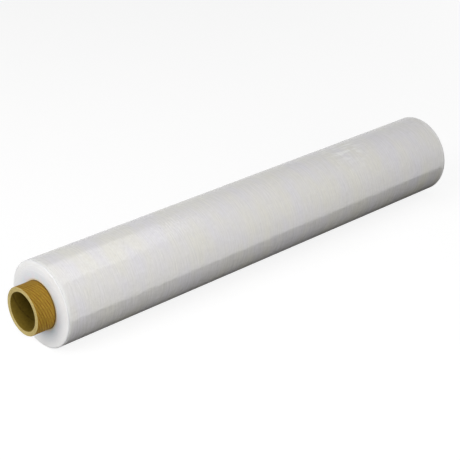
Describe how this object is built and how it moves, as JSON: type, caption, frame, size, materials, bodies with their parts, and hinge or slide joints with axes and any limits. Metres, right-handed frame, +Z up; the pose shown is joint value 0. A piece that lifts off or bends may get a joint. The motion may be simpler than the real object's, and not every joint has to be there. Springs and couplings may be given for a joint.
{
  "type": "roll of cling film",
  "caption": "Wide catering roll of clear cling film wound on a spiral card core, which stands out at one end.",
  "frame": {"origin": "centre of the box's underside: the flat spot the roll lies on, half-way along the core", "axes": "+X along the roll, away from the end where the bare core stands out; +Z up"},
  "size_m": [0.5206, 0.081, 0.0806],
  "materials": {
    "core_board": "spiral-wound kraft board, matte, cut ends paler",
    "wound_film": "wound clear film, milky and silvery grey in bulk, semi-gloss"
  },
  "bodies": {
    "root": {"core": "core_board", "film_roll": "wound_film"}
  },
  "joints": []
}
